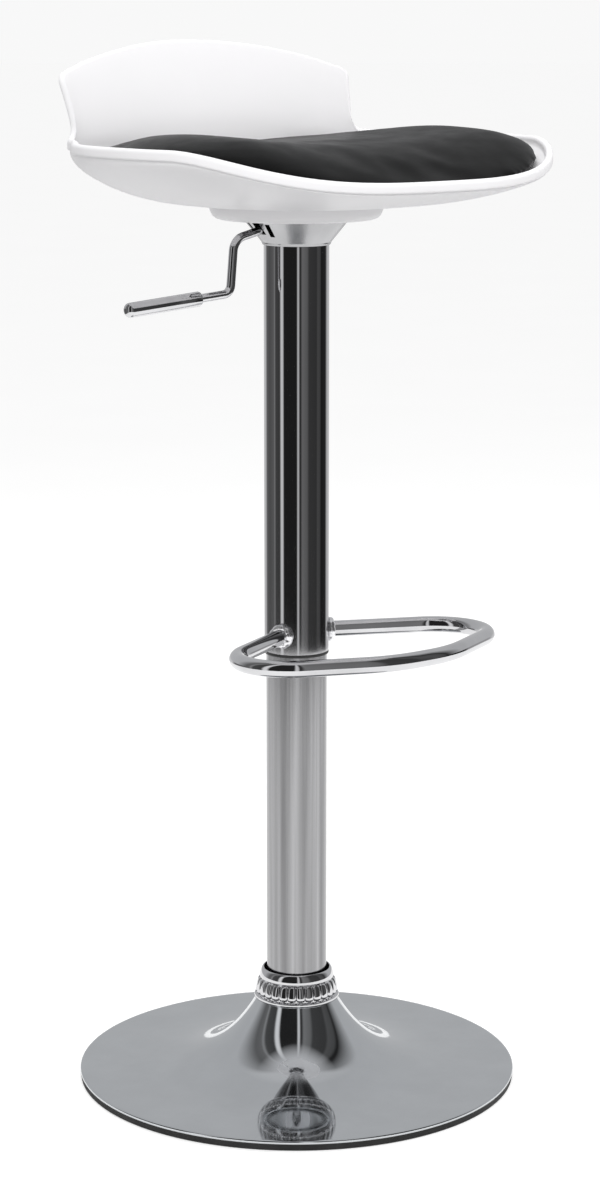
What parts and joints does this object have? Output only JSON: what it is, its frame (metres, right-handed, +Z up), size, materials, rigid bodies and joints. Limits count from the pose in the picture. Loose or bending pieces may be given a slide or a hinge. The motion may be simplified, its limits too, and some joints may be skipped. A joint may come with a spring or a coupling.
{
  "type": "adjustable swivel stool",
  "caption": "Swivel bar stool with a low-backed white shell seat, black pad, gas-lift column, release lever, looped footrest and round trumpet base.",
  "frame": {"origin": "centre of the floor contact, on the column's axis", "axes": "+Z up along the column, the sitter faces -Y, sitter's right is -X"},
  "size_m": [0.4428, 0.415, 0.9702],
  "materials": {
    "chrome": "mirror polished chrome plate",
    "satin_chrome": "lighter chrome plate on the lower column",
    "black_rubber": "matt",
    "black_plastic": "satin nylon",
    "white_plastic": "glossy moulded ABS",
    "black_leather": "soft PU leather, semi-matt",
    "foam": "polyurethane foam",
    "plywood": "thin board",
    "raw_steel": "welded steel",
    "zinc_steel": "zinc plated",
    "bearing_steel": "ground",
    "black_paint": "black paint",
    "brass": "turned",
    "aluminium": "turned"
  },
  "bodies": {
    "base": {"base_plate": "chrome", "base_rubber_ring": "black_rubber", "base_socket": "raw_steel", "base_stiffener": "raw_steel", "base_nut": "zinc_steel", "base_washer": "zinc_steel", "column_collar": "chrome", "lower_column": "satin_chrome", "column_foot": "raw_steel", "column_seat_disc": "raw_steel", "column_guide_bush": "black_plastic", "bearing_lower_race": "bearing_steel"},
    "ball_cage": {"bearing_balls": "bearing_steel", "bearing_cage": "brass"},
    "lift_rod": {"bearing_upper_race": "bearing_steel", "piston_rod": "bearing_steel", "rod_washer": "zinc_steel", "rod_clip": "zinc_steel", "rod_collar": "zinc_steel", "bump_stop": "black_rubber", "piston_head": "aluminium", "piston_seal": "black_rubber"},
    "seat": {"gas_cylinder": "black_paint", "cylinder_end_gland": "aluminium", "valve_body": "brass", "upper_tube": "chrome", "tube_glide_ring": "black_plastic", "taper_socket": "raw_steel", "swivel_cone": "chrome", "seat_plate": "black_paint", "lever_bracket": "black_paint", "lever_pivot_pin": "zinc_steel", "seat_bolts": "zinc_steel", "seat_washers": "zinc_steel", "threaded_inserts": "zinc_steel", "footrest_ring": "chrome", "footrest_welds": "chrome", "seat_shell": "white_plastic", "cushion_board": "plywood", "cushion_foam": "foam", "cushion_cover": "black_leather"},
    "lever": {"lever_rod": "chrome", "lever_grip": "chrome"},
    "valve": {"valve_pin": "bearing_steel"}
  },
  "joints": [
    {"name": "seat_swivel", "type": "hinge", "parent": "base", "child": "lift_rod", "pos_m": [0, 0, 0.093], "axis": [0, 0, 1], "continuous": true},
    {"name": "ball_cage_turn", "type": "hinge", "parent": "base", "child": "ball_cage", "pos_m": [0, 0, 0.093], "axis": [0, 0, 1], "continuous": true},
    {"name": "seat_height", "type": "slide", "parent": "lift_rod", "child": "seat", "axis": [0, 0, 1], "range_m": [-0.21, 0]},
    {"name": "lever_pull", "type": "hinge", "parent": "seat", "child": "lever", "pos_m": [-0.024, 0, 0.8205], "axis": [0, 1, 0], "range_deg": [0, 6], "stiffness_Nm_per_rad": 3, "springref_deg": -6.88},
    {"name": "valve_press", "type": "slide", "parent": "seat", "child": "valve", "axis": [0, 0, -1], "range_m": [0, 0.0026]}
  ],
  "couplings": [
    {"joint": "ball_cage_turn", "follows": "seat_swivel", "ratio": 0.5},
    {"joint": "valve_press", "follows": "lever_pull", "m_per_rad": 0.024}
  ]
}
